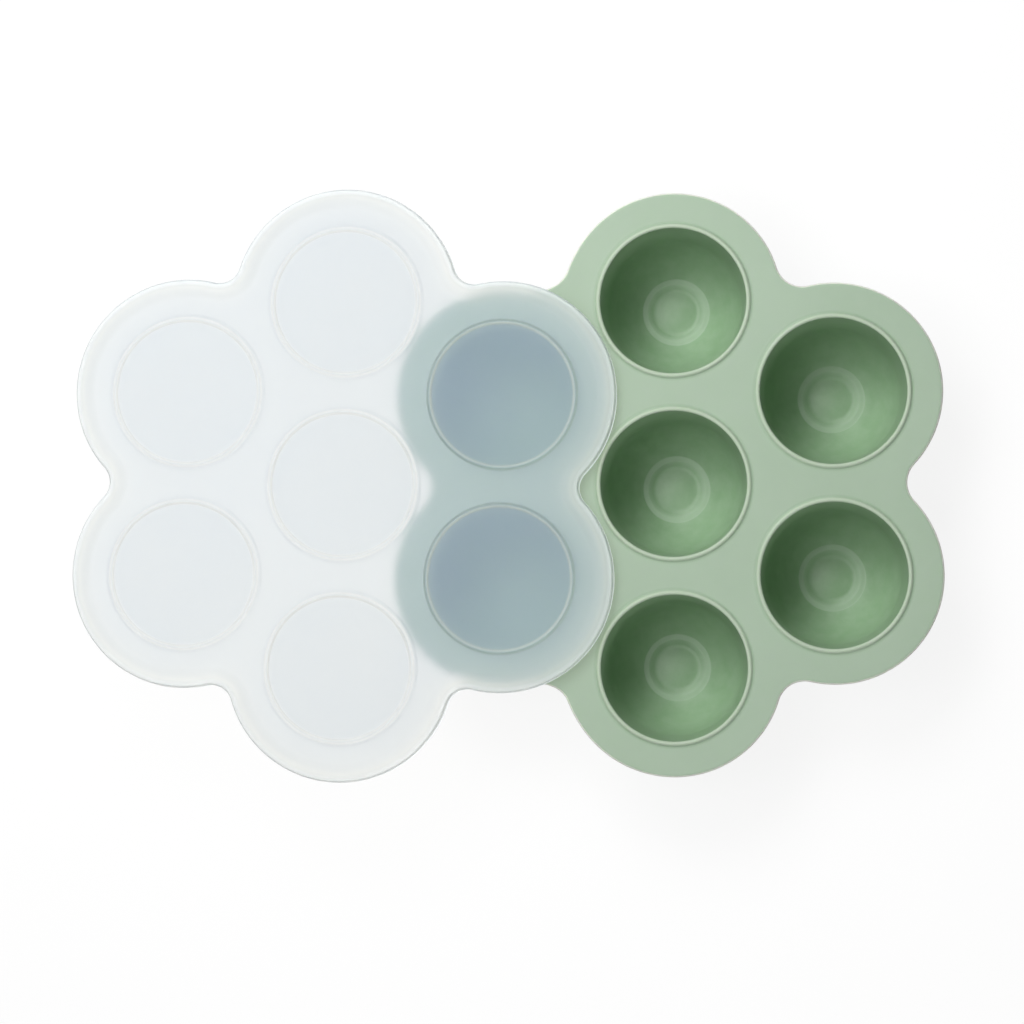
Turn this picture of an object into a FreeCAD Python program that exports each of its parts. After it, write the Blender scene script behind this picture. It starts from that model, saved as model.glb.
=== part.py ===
import FreeCAD, Part
import math
import os

import Sketcher

# A freezer tray for small portions: a soft one-piece tray with seven round cups, and a flat lid.
#
# Frame: millimetres, +Z up. The centre cup's foot stands on the origin, and the six outer cups
# lie round it on a hexagon, the first of them on +Y. A round lobe of the flange rings each outer
# cup, and the lid has the same outline. The lid lies level on the tray's left lobes, pushed up
# against the centre cup's lip and turned a little, as when it has just been taken off.

OUTER_CUPS = 6
FULL_TURN = 360.0
LEVEL_TOLERANCE = 1e-4

SIZES = [
    ("pitch", 66.0, "from one cup's centre to the next"),
    ("tray_height", 41.0, "from the table to the flange's top face"),
    ("lobe_radius", 39.0, "flange round each outer cup"),
    ("notch_radius", 9.5, "hollow corner between two lobes"),
    ("flange_thickness", 2.4, "flange"),
    ("edge_round", 1.0, "flange's outer edges"),
    ("mouth_radius", 26.2, "cup's inside at the flange's top face"),
    ("lip_width", 1.6, "raised lip round each mouth"),
    ("lip_height", 0.9, "lip above the flange"),
    ("cup_wall", 1.8, "cup's wall"),
    ("wall_draft", 4.0, "slope of the cup's upper wall, in degrees"),
    ("bowl_radius", 22.0, "cup's inside where the wall turns in"),
    ("ledge_radius", 12.3, "outer edge of the ledge round the cup's floor"),
    ("floor_radius", 9.3, "sunk floor inside the ledge"),
    ("floor_step", 1.2, "ledge above the sunk floor"),
    ("step_run", 0.6, "sideways run of the step's slope"),
    ("floor_thickness", 2.0, "cup's floor"),
    ("root_round", 2.0, "hollow corner between a cup and the flange's underside"),
    ("soft_round", 0.5, "edges of the ledge, the step and the foot"),
    ("lid_wall", 1.2, "lid's plate and skirt"),
    ("skirt_depth", 5.0, "skirt below the plate"),
    ("fit_gap", 0.8, "between the skirt and the flange's edge when the lid is on"),
    ("rim_width", 4.6, "raised rim round the lid"),
    ("rim_height", 0.8, "rim above the plate"),
    ("rim_round", 2.2, "lid's outer top edge"),
    ("ring_width", 1.2, "fine ridge above each cup's lip"),
    ("ring_height", 0.5, "ridge above the plate"),
    ("groove_depth", 0.4, "groove under each ridge, where a lip beds in"),
    ("groove_gap", 0.3, "groove on each side of a lip"),
    ("seat_gap", 0.3, "between the lid and what it lies on or stands against"),
    ("lid_turn", 0.95, "how far the lid is turned on the tray, clockwise from above, in degrees"),
]

# Lengths that follow from the sizes, written as the document's expressions.
FLANGE_UNDERSIDE = "(sizes.tray_height - sizes.flange_thickness)"
LEDGE_TOP = "(sizes.floor_thickness + sizes.floor_step)"
FOOT_RADIUS = "(sizes.floor_radius + sizes.cup_wall)"
LIP_OUTER = "(sizes.mouth_radius + sizes.lip_width)"
LIP_CREST_RADIUS = "((sizes.lip_width^2 / 4 + sizes.lip_height^2) / (2 * sizes.lip_height))"
LIP_MIDDLE = "(sizes.mouth_radius + sizes.lip_width / 2)"
LID_OFFSET = "(sizes.fit_gap + sizes.lid_wall)"
LID_LOBE = f"(sizes.lobe_radius + {LID_OFFSET})"
LID_NOTCH = f"(sizes.notch_radius - {LID_OFFSET})"
LID_HEIGHT = "(sizes.skirt_depth + sizes.lid_wall + sizes.rim_height)"
HOLLOW_LOBE = "(sizes.lobe_radius + sizes.fit_gap)"
HOLLOW_NOTCH = "(sizes.notch_radius - sizes.fit_gap)"
PLATE_LOBE = f"({LID_LOBE} - sizes.rim_width)"
PLATE_NOTCH = f"({LID_NOTCH} + sizes.rim_width)"
PLATE_TOP = "(sizes.skirt_depth + sizes.lid_wall)"
RING_CREST_RADIUS = "((sizes.ring_width^2 / 4 + sizes.ring_height^2) / (2 * sizes.ring_height))"
# The lid's upper right lobe stands off the centre cup by both outer radii and the gap.
STANDOFF = f"({LID_LOBE} + {LIP_OUTER} + sizes.seat_gap)"
LOBE_ACROSS = "(sizes.pitch * cos(30 - sizes.lid_turn))"
LOBE_ALONG = "(sizes.pitch * sin(30 - sizes.lid_turn))"
LID_SHIFT = f"({LOBE_ACROSS} + sqrt({STANDOFF}^2 - {LOBE_ALONG}^2))"
LID_REST_HEIGHT = "(sizes.tray_height + sizes.seat_gap)"
LID_PLACE = f"vector(-{LID_SHIFT}; 0; {LID_REST_HEIGHT})"
LID_ROTATION = "rotation(vector(0; 0; 1); -sizes.lid_turn)"


def make_sheet(doc):
    """Put the driving sizes in a sheet, one row each: name, value, what it measures."""
    sheet = doc.addObject("Spreadsheet::Sheet", "sizes")
    for row, (name, value, meaning) in enumerate(SIZES, start=1):
        sheet.set(f"A{row}", name)
        sheet.set(f"B{row}", str(value))
        sheet.setAlias(f"B{row}", name)
        sheet.set(f"C{row}", meaning)
    doc.recompute()


def make_body(doc, label):
    body = doc.addObject("PartDesign::Body", label)
    body.Label = label
    return body


def origin_feature(body, role):
    """Find one of a body's own origin planes or axes."""
    return next(feature for feature in body.Origin.OriginFeatures if feature.Role == role)


def point(across, up):
    return FreeCAD.Vector(across, up, 0)


# ---- sketches ----

def make_sketch(body, name, role, height=None):
    """Start a sketch on an origin plane, or at a height above it."""
    sketch = body.newObject("Sketcher::SketchObject", name)
    sketch.AttachmentSupport = [(origin_feature(body, role), "")]
    sketch.MapMode = "FlatFace"
    if height:
        sketch.setExpression("AttachmentOffset.Base.z", height)
    return sketch


def constrain(sketch, *terms):
    return sketch.addConstraint(Sketcher.Constraint(*terms))


def bind(sketch, expression, *terms):
    """Add a dimension that starts at its present value, and tie it to the sheet."""
    index = constrain(sketch, *terms, sketch.evalExpression(expression))
    sketch.setExpression(f"Constraints[{index}]", expression)


def fix_point(sketch, curve, end, across=None, up=None):
    """Tie one end of a curve to its distances from the sketch's axes."""
    for kind, expression, axis in (("DistanceX", across, -2), ("DistanceY", up, -1)):
        if expression == "0":
            constrain(sketch, "PointOnObject", curve, end, axis)
        elif expression:
            bind(sketch, expression, kind, -1, 1, curve, end)


def arc(centre, start, end):
    """Arc that runs anticlockwise about its centre."""
    circle = Part.Circle(centre, FreeCAD.Vector(0, 0, 1), centre.distanceToPoint(start))
    first = math.atan2(start.y - centre.y, start.x - centre.x)
    last = math.atan2(end.y - centre.y, end.x - centre.x)
    return Part.ArcOfCircle(circle, first, last)


def draw_outline(sketch, corners, left_arcs=(), right_arcs=(), smooth=()):
    """Draw a closed outline of lines and arcs through named corners.

    corners maps each corner's name to its point, in order. left_arcs and right_arcs map the name
    of a corner to the centre of the arc that leaves it, which bends to the left or to the right.
    At the corners named in smooth, one curve runs into the next. Returns, for each corner, the
    curve that leaves it and which end of that curve lies on it.
    """
    names = list(corners)
    leaving = {}
    arriving = {}
    for name, following in zip(names, names[1:] + names[:1]):
        start = corners[name]
        end = corners[following]
        if name in right_arcs:
            curve = sketch.addGeometry(arc(right_arcs[name], end, start))
            leaving[name] = (curve, 2)
            arriving[following] = (curve, 1)
            continue
        if name in left_arcs:
            curve = sketch.addGeometry(arc(left_arcs[name], start, end))
        else:
            curve = sketch.addGeometry(Part.LineSegment(start, end))
        leaving[name] = (curve, 1)
        arriving[following] = (curve, 2)
    for name in names:
        joint = "Tangent" if name in smooth else "Coincident"
        constrain(sketch, joint, *arriving[name], *leaving[name])
    return leaving


def flower_sketch(body, name, lobe, notch, height=None):
    """Outline of six round lobes joined by hollow corners, each arc tangent to the next."""
    sketch = make_sketch(body, name, "XY_Plane", height)
    pitch = sketch.evalExpression("sizes.pitch")
    lobe_radius = sketch.evalExpression(lobe)
    notch_radius = sketch.evalExpression(notch)
    half_step = math.pi / OUTER_CUPS
    # A hollow corner's centre lies on the line between two lobes, beyond their middle.
    both_radii = lobe_radius + notch_radius
    notch_reach = pitch * math.cos(half_step) + math.sqrt(both_radii**2 - pitch**2 / 4)
    lobe_share = lobe_radius / both_radii

    def polar(distance, turn):
        return point(distance * math.cos(turn), distance * math.sin(turn))

    corners = {}
    lobe_centres = {}
    notch_centres = {}
    for cup in range(OUTER_CUPS):
        turn = math.pi / 2 + 2 * cup * half_step
        centre = polar(pitch, turn)
        before = polar(notch_reach, turn - half_step)
        after = polar(notch_reach, turn + half_step)
        corners[f"start {cup}"] = centre + (before - centre) * lobe_share
        corners[f"end {cup}"] = centre + (after - centre) * lobe_share
        lobe_centres[f"start {cup}"] = centre
        notch_centres[f"end {cup}"] = after
    leaving = draw_outline(sketch, corners, lobe_centres, notch_centres, smooth=corners)

    first_lobe = leaving["start 0"][0]
    first_notch = leaving["end 0"][0]
    for cup in range(OUTER_CUPS):
        turn = 90 + cup * FULL_TURN / OUTER_CUPS
        across = "0" if cup % 3 == 0 else f"sizes.pitch * cos({turn})"
        fix_point(sketch, leaving[f"start {cup}"][0], 3, across, f"sizes.pitch * sin({turn})")
        if cup:
            constrain(sketch, "Equal", first_lobe, leaving[f"start {cup}"][0])
            constrain(sketch, "Equal", first_notch, leaving[f"end {cup}"][0])
    bind(sketch, lobe, "Radius", first_lobe)
    bind(sketch, notch, "Radius", first_notch)
    return sketch


def hole_sketch(body, name):
    """Circles of the seven mouths on the flange's underside."""
    sketch = make_sketch(body, name, "XY_Plane", FLANGE_UNDERSIDE)
    radius = sketch.evalExpression("sizes.mouth_radius")
    pitch = sketch.evalExpression("sizes.pitch")
    middle = sketch.addGeometry(Part.Circle(point(0, 0), FreeCAD.Vector(0, 0, 1), radius))
    constrain(sketch, "Coincident", middle, 3, -1, 1)
    bind(sketch, "sizes.mouth_radius", "Radius", middle)
    for cup in range(OUTER_CUPS):
        turn = 90 + cup * FULL_TURN / OUTER_CUPS
        centre = point(pitch * math.cos(math.radians(turn)), pitch * math.sin(math.radians(turn)))
        circle = sketch.addGeometry(Part.Circle(centre, FreeCAD.Vector(0, 0, 1), radius))
        across = "0" if cup % 3 == 0 else f"sizes.pitch * cos({turn})"
        fix_point(sketch, circle, 3, across, f"sizes.pitch * sin({turn})")
        constrain(sketch, "Equal", middle, circle)
    return sketch


def cup_section(body, name):
    """Section of a cup from its axis out to the flange: sunk floor, ledge, bowl, wall and lip."""
    sketch = make_sketch(body, name, "YZ_Plane")

    def size(expression):
        return sketch.evalExpression(expression)

    slope = math.radians(size("sizes.wall_draft"))
    out = point(math.cos(slope), -math.sin(slope))
    up_wall = point(math.sin(slope), math.cos(slope))
    wall = size("sizes.cup_wall")
    bowl_radius = size("sizes.bowl_radius")
    root_round = size("sizes.root_round")
    mouth = point(size("sizes.mouth_radius"), size("sizes.tray_height"))
    lip_end = mouth + point(size("sizes.lip_width"), 0)
    ledge = point(size("sizes.ledge_radius"), size(LEDGE_TOP))
    foot_radius = size(FOOT_RADIUS)
    step_height = size("sizes.floor_step")
    step_run = point(size("sizes.step_run"), 0)
    # The bowl's centre is one radius from the ledge's edge and one radius inside the wall.
    inner_line = mouth - out * bowl_radius
    to_ledge = ledge - inner_line
    rise = to_ledge.dot(up_wall) + math.sqrt(bowl_radius**2 - to_ledge.dot(out) ** 2)
    bowl_centre = inner_line + up_wall * rise
    # The root's centre is one radius outside the wall and one radius below the flange.
    outer_line = mouth + out * (wall + root_round)
    root_height = size(FLANGE_UNDERSIDE) - root_round
    root_centre = outer_line + up_wall * ((root_height - outer_line.y) / up_wall.y)
    under_ledge = math.sqrt((bowl_radius + wall) ** 2 - (bowl_centre.y - step_height) ** 2)
    lip_centre = point(size(LIP_MIDDLE), mouth.y + size("sizes.lip_height") - size(LIP_CREST_RADIUS))

    corners = {
        "floor middle": point(0, size("sizes.floor_thickness")),
        "floor edge": point(size("sizes.floor_radius"), size("sizes.floor_thickness")),
        "step top": point(size("sizes.floor_radius"), ledge.y) + step_run,
        "ledge edge": ledge,
        "bowl top": bowl_centre + out * bowl_radius,
        "mouth": mouth,
        "lip end": lip_end,
        "flange top": point(root_centre.x, mouth.y),
        "root top": root_centre + point(0, root_round),
        "root end": root_centre - out * root_round,
        "outer bowl top": bowl_centre + out * (bowl_radius + wall),
        "under ledge": point(bowl_centre.x + under_ledge, step_height),
        "under step": point(foot_radius, step_height) + step_run,
        "foot edge": point(foot_radius, 0),
        "foot middle": point(0, 0),
    }
    left_arcs = {"ledge edge": bowl_centre, "root top": root_centre}
    right_arcs = {"mouth": lip_centre, "outer bowl top": bowl_centre}
    smooth = ("bowl top", "root end", "outer bowl top")
    leaving = draw_outline(sketch, corners, left_arcs, right_arcs, smooth)

    fixed = {
        "floor middle": ("0", "sizes.floor_thickness"),
        "floor edge": ("sizes.floor_radius", "sizes.floor_thickness"),
        "step top": ("sizes.floor_radius + sizes.step_run", LEDGE_TOP),
        "ledge edge": ("sizes.ledge_radius", LEDGE_TOP),
        "mouth": ("sizes.mouth_radius", "sizes.tray_height"),
        "lip end": (LIP_OUTER, "sizes.tray_height"),
        "flange top": (None, "sizes.tray_height"),
        "root top": (None, FLANGE_UNDERSIDE),
        "under ledge": (None, "sizes.floor_step"),
        "under step": (f"{FOOT_RADIUS} + sizes.step_run", "sizes.floor_step"),
        "foot edge": (FOOT_RADIUS, "0"),
        "foot middle": ("0", "0"),
    }
    for corner, (across, up) in fixed.items():
        fix_point(sketch, *leaving[corner], across, up)
    curves = {corner: curve for corner, (curve, _end) in leaving.items()}
    root = curves["root top"]
    constrain(sketch, "Vertical", curves["flange top"])
    constrain(sketch, "Vertical", root, 3, root, 1)
    constrain(sketch, "Coincident", curves["ledge edge"], 3, curves["outer bowl top"], 3)
    bind(sketch, "(90 - sizes.wall_draft) * 1 deg", "Angle", curves["bowl top"])
    bind(sketch, "sizes.bowl_radius", "Radius", curves["ledge edge"])
    bind(sketch, "sizes.bowl_radius + sizes.cup_wall", "Radius", curves["outer bowl top"])
    bind(sketch, "sizes.root_round", "Radius", root)
    bind(sketch, LIP_CREST_RADIUS, "Radius", curves["mouth"])
    constrain(sketch, "Parallel", curves["bowl top"], curves["root end"])
    return sketch


def ridge_section(body, name):
    """Section of the fine ridge that stands on the lid's plate above a lip."""
    sketch = make_sketch(body, name, "YZ_Plane")
    middle = sketch.evalExpression(LIP_MIDDLE)
    half_width = sketch.evalExpression("sizes.ring_width / 2")
    base = sketch.evalExpression(PLATE_TOP)
    crest_drop = sketch.evalExpression(f"sizes.ring_height - {RING_CREST_RADIUS}")
    corners = {"inside": point(middle - half_width, base), "outside": point(middle + half_width, base)}
    leaving = draw_outline(sketch, corners, right_arcs={"inside": point(middle, base + crest_drop)})
    fix_point(sketch, *leaving["inside"], f"{LIP_MIDDLE} - sizes.ring_width / 2", PLATE_TOP)
    fix_point(sketch, *leaving["outside"], f"{LIP_MIDDLE} + sizes.ring_width / 2", PLATE_TOP)
    bind(sketch, RING_CREST_RADIUS, "Radius", leaving["inside"][0])
    return sketch


def groove_section(body, name):
    """Section of the groove in the lid's underside where a lip beds in."""
    sketch = make_sketch(body, name, "YZ_Plane")
    inside = "sizes.mouth_radius - sizes.groove_gap"
    outside = f"{LIP_OUTER} + sizes.groove_gap"
    bottom = "sizes.skirt_depth"
    top = "sizes.skirt_depth + sizes.groove_depth"
    places = {
        "bottom inside": (inside, bottom),
        "bottom outside": (outside, bottom),
        "top outside": (outside, top),
        "top inside": (inside, top),
    }
    corners = {name: point(*map(sketch.evalExpression, place)) for name, place in places.items()}
    leaving = draw_outline(sketch, corners)
    for corner, (across, up) in places.items():
        fix_point(sketch, *leaving[corner], across, up)
    return sketch


# ---- features ----

def add_pad(body, name, sketch, length):
    pad = body.newObject("PartDesign::Pad", name)
    pad.Profile = sketch
    pad.setExpression("Length", length)
    body.Document.recompute()


def cut_pocket(body, name, sketch, depth, upwards=False):
    """Cut an outline to a depth, and make sure that the cut took something away."""
    volume = body.Shape.Volume
    pocket = body.newObject("PartDesign::Pocket", name)
    pocket.Profile = sketch
    pocket.setExpression("Length", depth)
    pocket.Reversed = upwards
    body.Document.recompute()
    if body.Shape.Volume >= volume:
        raise RuntimeError(f"{name} cuts nothing")


def revolve_at_cups(body, kind, name, draw):
    """Turn a section about the centre cup's axis and an outer cup's, then repeat the outer one."""
    for place in ("centre", "outer"):
        volume = body.Shape.Volume
        sketch = draw(body, f"{name}_{place}_section")
        if place == "outer":
            sketch.setExpression("AttachmentOffset.Base.x", "sizes.pitch")
        turned = body.newObject(kind, f"{name}_{place}")
        turned.Profile = sketch
        turned.ReferenceAxis = (sketch, ["V_Axis"])
        turned.Angle = FULL_TURN
        body.Document.recompute()
        if (body.Shape.Volume > volume) != (kind == "PartDesign::Revolution"):
            raise RuntimeError(f"{turned.Name} doesn't change the body as it should")
    pattern = body.newObject("PartDesign::PolarPattern", f"{name}_round")
    pattern.Originals = [turned]
    pattern.Axis = (origin_feature(body, "Z_Axis"), [""])
    pattern.Angle = FULL_TURN
    pattern.Occurrences = OUTER_CUPS
    body.Tip = pattern
    body.Document.recompute()


def round_edges(body, name, rounding, *places):
    """Round the level circles and arcs that have one of the given pairs of height and radius."""
    def is_wanted(edge):
        if not isinstance(edge.Curve, Part.Circle):
            return False
        box = edge.BoundBox
        for height, radius in wanted:
            errors = (box.ZMin - height, box.ZMax - height, edge.Curve.Radius - radius)
            if max(map(abs, errors)) < LEVEL_TOLERANCE:
                return True
        return False

    sheet = body.Document.sizes
    wanted = [tuple(map(sheet.evalExpression, place)) for place in places]
    numbered = enumerate(body.Shape.Edges, start=1)
    edges = [f"Edge{number}" for number, edge in numbered if is_wanted(edge)]
    if not edges:
        raise RuntimeError(f"{name} finds no edge")
    sharp = body.Tip
    fillet = body.newObject("PartDesign::Fillet", name)
    fillet.Base = (sharp, edges)
    fillet.setExpression("Radius", rounding)
    body.Document.recompute()


# ---- pieces ----

def make_tray(doc):
    """Soft tray, moulded in one piece: a lobed flange and the seven cups that hang from it."""
    tray = make_body(doc, "silicone_tray")
    lobe = "sizes.lobe_radius"
    notch = "sizes.notch_radius"
    flange = flower_sketch(tray, "flange_outline", lobe, notch, FLANGE_UNDERSIDE)
    add_pad(tray, "flange", flange, "sizes.flange_thickness")
    holes = hole_sketch(tray, "mouths_outline")
    cut_pocket(tray, "mouths", holes, "sizes.flange_thickness", upwards=True)
    revolve_at_cups(tray, "PartDesign::Revolution", "cup", cup_section)
    round_edges(
        tray, "flange_edges", "min(sizes.edge_round; 0.45 * sizes.flange_thickness)",
        ("sizes.tray_height", lobe), ("sizes.tray_height", notch),
        (FLANGE_UNDERSIDE, lobe), (FLANGE_UNDERSIDE, notch),
    )
    round_edges(
        tray, "cup_edges", "min(sizes.soft_round; 0.4 * sizes.floor_step)",
        ("sizes.floor_thickness", "sizes.floor_radius"),
        (LEDGE_TOP, "sizes.floor_radius + sizes.step_run"),
        (LEDGE_TOP, "sizes.ledge_radius"),
        ("0", FOOT_RADIUS),
    )


def make_lid(doc):
    """Stiff lid: a plate with a raised rim, a short skirt, and a ridge above each cup's lip."""
    lid = make_body(doc, "lid")
    outline = flower_sketch(lid, "lid_outline", LID_LOBE, LID_NOTCH)
    add_pad(lid, "lid_block", outline, LID_HEIGHT)
    round_edges(
        lid, "rim_edge", f"min(sizes.rim_round; 0.45 * {LID_HEIGHT})",
        (LID_HEIGHT, LID_LOBE), (LID_HEIGHT, LID_NOTCH),
    )
    hollow = flower_sketch(lid, "hollow_outline", HOLLOW_LOBE, HOLLOW_NOTCH)
    cut_pocket(lid, "hollow", hollow, "sizes.skirt_depth", upwards=True)
    plate = flower_sketch(lid, "plate_outline", PLATE_LOBE, PLATE_NOTCH, LID_HEIGHT)
    cut_pocket(lid, "plate", plate, "sizes.rim_height")
    round_edges(
        lid, "plate_edges", "0.45 * sizes.rim_height",
        (LID_HEIGHT, PLATE_LOBE), (LID_HEIGHT, PLATE_NOTCH),
        (PLATE_TOP, PLATE_LOBE), (PLATE_TOP, PLATE_NOTCH),
    )
    revolve_at_cups(lid, "PartDesign::Groove", "groove", groove_section)
    revolve_at_cups(lid, "PartDesign::Revolution", "ridge", ridge_section)
    lid.setExpression("Placement", f"placement({LID_PLACE}; {LID_ROTATION})")


def check(doc):
    """Stop if any object failed, or a piece is empty or invalid."""
    for item in doc.Objects:
        if {"Invalid", "Error"} & set(item.State):
            raise RuntimeError(f"{item.Name}: {item.State}")
    for body in doc.findObjects("PartDesign::Body"):
        if body.Shape.isNull() or not body.Shape.isValid() or len(body.Shape.Solids) != 1:
            raise RuntimeError(f"{body.Label}: not one valid solid")


def main():
    doc = FreeCAD.newDocument("freezer_tray")
    make_sheet(doc)
    make_tray(doc)
    make_lid(doc)
    doc.recompute()
    check(doc)
    os.makedirs("parts", exist_ok=True)
    for body in doc.findObjects("PartDesign::Body"):
        body.Shape.exportStep(f"parts/{body.Label}.step")
        print(f"{body.Label}: {body.Shape.Volume / 1000:.1f} cm3")


main()
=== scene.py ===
# %% [markdown]
# # A freezer tray and its lid
#
# The real thing has two pieces. A soft silicone tray hangs seven round cups from one lobed flange,
# and a milky plastic lid of the same outline clips over it. Here the lid has just been taken off
# and lies half on the tray, turned a little, with its edge against the centre cup.
#
# Both pieces follow one rule: a drawn section is turned round each cup's axis, another is carried
# along the lobed edge, and flat sheets close what is left between them. So one Geometry Nodes tree
# makes both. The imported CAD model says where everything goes, and it is loaded first.

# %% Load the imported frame
import math

import bpy
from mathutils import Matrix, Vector


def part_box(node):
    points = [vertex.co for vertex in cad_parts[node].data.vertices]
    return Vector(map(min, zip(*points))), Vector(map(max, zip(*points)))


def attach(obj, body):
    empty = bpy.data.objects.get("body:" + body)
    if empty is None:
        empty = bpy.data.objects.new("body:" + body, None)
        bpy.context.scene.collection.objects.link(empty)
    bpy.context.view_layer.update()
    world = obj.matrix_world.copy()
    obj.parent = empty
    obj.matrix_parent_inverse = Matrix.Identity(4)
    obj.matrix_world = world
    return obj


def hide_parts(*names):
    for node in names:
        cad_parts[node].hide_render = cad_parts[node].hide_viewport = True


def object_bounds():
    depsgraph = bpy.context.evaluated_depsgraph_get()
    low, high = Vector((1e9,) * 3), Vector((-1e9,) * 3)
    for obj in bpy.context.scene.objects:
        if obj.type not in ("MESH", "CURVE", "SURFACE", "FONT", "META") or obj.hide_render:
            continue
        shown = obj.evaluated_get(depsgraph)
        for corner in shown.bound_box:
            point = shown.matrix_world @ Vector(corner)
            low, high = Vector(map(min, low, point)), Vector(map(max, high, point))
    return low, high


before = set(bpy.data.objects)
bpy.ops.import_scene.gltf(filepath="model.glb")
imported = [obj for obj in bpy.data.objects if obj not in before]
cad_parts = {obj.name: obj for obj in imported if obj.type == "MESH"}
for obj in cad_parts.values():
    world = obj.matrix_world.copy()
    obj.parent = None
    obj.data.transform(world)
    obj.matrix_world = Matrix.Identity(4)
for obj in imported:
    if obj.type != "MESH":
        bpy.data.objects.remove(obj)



def to_four_digits(box):
    return [[round(v, 4) for v in corner] for corner in box]


cad_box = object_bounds()
print("CAD box in metres:", to_four_digits(cad_box))


# %% [markdown]
# ## Wires and nodes
#
# A node tree is a graph, but much of it is plain arithmetic. A wire is a node's output that can
# stand in a Python sum, so `1 - mask * 0.3` adds its own Math nodes. Every other node comes from
# one function, which takes the node's type, its settings and what goes into its sockets. Both work
# in Geometry Nodes and in materials, because the Math node is the same in both.

# %% Wires and nodes
class Wire:
    """A node's output that can be used in a sum, as a number would be."""

    def __init__(self, tree, socket):
        self.tree = tree
        self.socket = socket

    def output(self, name):
        """Another output of the same node."""
        return Wire(self.tree, self.socket.node.outputs[name])

    def maths(self, operation, *terms):
        return maths(self.tree, operation, self, *terms)

    def __add__(self, other):
        return self.maths("ADD", other)

    def __sub__(self, other):
        return self.maths("SUBTRACT", other)

    def __mul__(self, other):
        return self.maths("MULTIPLY", other)

    def __truediv__(self, other):
        return self.maths("DIVIDE", other)

    def __mod__(self, other):
        return self.maths("MODULO", other)

    def __rsub__(self, other):
        return maths(self.tree, "SUBTRACT", other, self)

    def __rtruediv__(self, other):
        return maths(self.tree, "DIVIDE", other, self)

    __radd__ = __add__
    __rmul__ = __mul__


def plug(tree, value, socket):
    """Link a wire to a socket, or set the socket to a plain value."""
    if isinstance(value, Wire):
        tree.links.new(value.socket, socket)
    else:
        socket.default_value = value


def maths(tree, operation, *terms):
    made = tree.nodes.new("ShaderNodeMath")
    made.operation = operation
    for socket, term in zip(made.inputs, terms):
        plug(tree, term, socket)
    return Wire(tree, made.outputs[0])


def node(tree, kind, settings=None, inputs=None, output=0):
    """Add a node: its settings first, because they decide which sockets it has."""
    made = tree.nodes.new(kind)
    for name, value in (settings or {}).items():
        setattr(made, name, value)
    for name, value in (inputs or {}).items():
        plug(tree, value, made.inputs[name])
    return Wire(tree, made.outputs[output])


def vector(tree, x, y, z):
    return node(tree, "ShaderNodeCombineXYZ", inputs={"X": x, "Y": y, "Z": z})


def parts_of(tree, wire):
    split = node(tree, "ShaderNodeSeparateXYZ", inputs={"Vector": wire})
    return split, split.output("Y"), split.output("Z")


# %% [markdown]
# ## Sizes
#
# All lengths are written in millimetres, as on a drawing, and turned into metres once. Where the
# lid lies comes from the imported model: its box gives the centre and the height. How far it is
# turned can't be read from a box, so that angle is written here.

# %% Sizes shared by both pieces
MM = 0.001
PITCH = 66.0
# The outer cups stand on a hexagon, and this is how far apart its columns are.
COLUMN = PITCH * math.cos(math.radians(30))
MOUTH_RADIUS = 26.2
LIP_WIDTH = 1.6
LIP_OUTER = MOUTH_RADIUS + LIP_WIDTH
LIP_MIDDLE = MOUTH_RADIUS + LIP_WIDTH / 2
# A flat piece this long runs on past a round, so that the round meets a sheet without a kink.
SUPPORT = 0.5
LID_TURN = math.radians(-0.95)


def in_mm(values, digits):
    return [round(v / MM, digits) for v in values]


lid_low, lid_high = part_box("lid")
lid_centre = (lid_low + lid_high) / 2
lid_place = Vector((lid_centre.x, lid_centre.y, lid_low.z))
print("The lid lies at", in_mm(lid_place, 2), "mm")


# %% [markdown]
# ## Drawing a section
#
# A section is a line of points, each at a distance across and a height. Real edges are never
# perfectly sharp, so a corner may have a radius, and the drawing puts a small arc there. Without
# it no edge would catch the light.

# %% Draw sections
def arc(centre, radius, first, last, steps):
    """Points on an arc, from one angle to another, in degrees."""
    angles = [math.radians(first + (last - first) * step / steps) for step in range(steps + 1)]
    return [(centre[0] + radius * math.cos(a), centre[1] + radius * math.sin(a)) for a in angles]


def rotated(point, angle):
    x, y = point
    return Vector((
        x * math.cos(angle) - y * math.sin(angle),
        x * math.sin(angle) + y * math.cos(angle),
    ))


def rounded(corners, steps=5):
    """Line of points through corners, with an arc at each corner that has a radius."""
    line = []
    for number, corner in enumerate(corners):
        if len(corner) == 2:
            line.append(corner)
            continue
        at = Vector(corner[:2])
        back = (Vector(corners[number - 1][:2]) - at).normalized()
        ahead = (Vector(corners[number + 1][:2]) - at).normalized()
        half = back.angle(ahead) / 2
        centre = at + (back + ahead).normalized() * (corner[2] / math.sin(half))
        start = at + back * (corner[2] / math.tan(half)) - centre
        finish = at + ahead * (corner[2] / math.tan(half)) - centre
        turn = start.angle_signed(finish)
        for step in range(steps + 1):
            line.append(tuple(centre + rotated(start, -turn * step / steps)))
    return line


def show(lines):
    for line, _, place in lines:
        print(f"Line {place} of {len(line)} points, from {line[0]} to {line[-1]}")
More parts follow.
